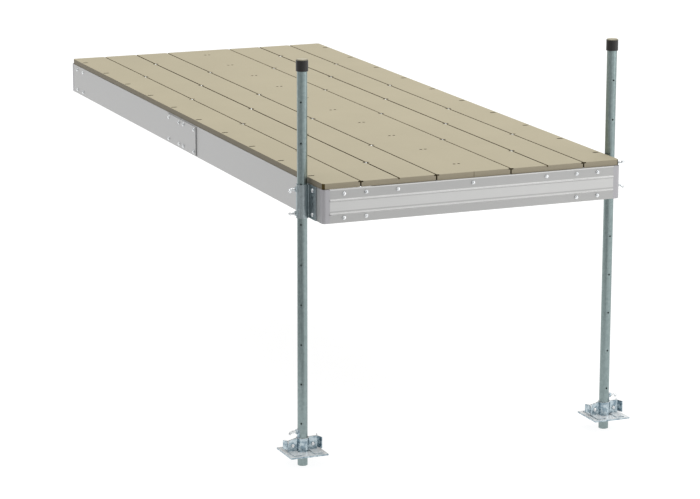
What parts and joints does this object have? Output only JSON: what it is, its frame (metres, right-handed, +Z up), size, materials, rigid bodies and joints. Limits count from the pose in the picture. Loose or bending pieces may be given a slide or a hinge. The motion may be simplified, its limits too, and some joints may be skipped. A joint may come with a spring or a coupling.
{
  "type": "dock section with adjustable pipe legs",
  "caption": "Bolt-together aluminium dock section with a tan panel deck, carried at its near end by galvanised pipe legs that slide in clamping holders and stand on square feet.",
  "frame": {"origin": "middle of the far end beam's outer face, between its two ribs", "axes": "+Y out of the far end along the section, +X to the right of someone looking along +Y, +Z up"},
  "size_m": [1.422, 3.054, 1.542],
  "materials": {
    "frame_aluminium": "mill finish, satin",
    "deck_composite": "moulded tan panel with a fine matt grain",
    "zinc_steel": "hot-dip galvanised, dull to satin",
    "cap_vinyl": "black vinyl, low sheen"
  },
  "bodies": {
    "dock": {"end_beam_near": "frame_aluminium", "end_beam_far": "frame_aluminium", "side_beam_left_near": "frame_aluminium", "side_beam_left_far": "frame_aluminium", "side_beam_right_near": "frame_aluminium", "side_beam_right_far": "frame_aluminium", "splice_plate_left": "frame_aluminium", "splice_plate_right": "frame_aluminium", "corner_near_left": "frame_aluminium", "corner_near_right": "frame_aluminium", "corner_far_left": "frame_aluminium", "corner_far_right": "frame_aluminium", "ledger_near": "frame_aluminium", "ledger_far": "frame_aluminium", "cross_member_1": "frame_aluminium", "cross_member_2": "frame_aluminium", "cross_member_3": "frame_aluminium", "cross_member_4": "frame_aluminium", "cross_member_5": "frame_aluminium", "cross_member_6": "frame_aluminium", "cross_member_7": "frame_aluminium", "cross_member_8": "frame_aluminium", "cross_member_9": "frame_aluminium", "deck_panel_1": "deck_composite", "deck_panel_2": "deck_composite", "deck_panel_3": "deck_composite", "deck_panel_4": "deck_composite", "deck_panel_5": "deck_composite", "leg_holder_left": "zinc_steel", "leg_holder_right": "zinc_steel", "holder_screws_left": "zinc_steel", "holder_screws_right": "zinc_steel"},
    "leg_left_body": {"leg_left": "zinc_steel", "leg_cap_left": "cap_vinyl", "foot_left": "zinc_steel", "foot_clamp_left_front": "zinc_steel", "foot_clamp_left_back": "zinc_steel", "foot_screw_left": "zinc_steel"},
    "leg_right_body": {"leg_right": "zinc_steel", "leg_cap_right": "cap_vinyl", "foot_right": "zinc_steel", "foot_clamp_right_front": "zinc_steel", "foot_clamp_right_back": "zinc_steel", "foot_screw_right": "zinc_steel"}
  },
  "joints": [
    {"name": "leg_left_slide", "type": "slide", "parent": "dock", "child": "leg_left_body", "axis": [0, 0, 1], "range_m": [-0.4, 0.8]},
    {"name": "leg_right_slide", "type": "slide", "parent": "dock", "child": "leg_right_body", "axis": [0, 0, 1], "range_m": [-0.4, 0.8]}
  ]
}
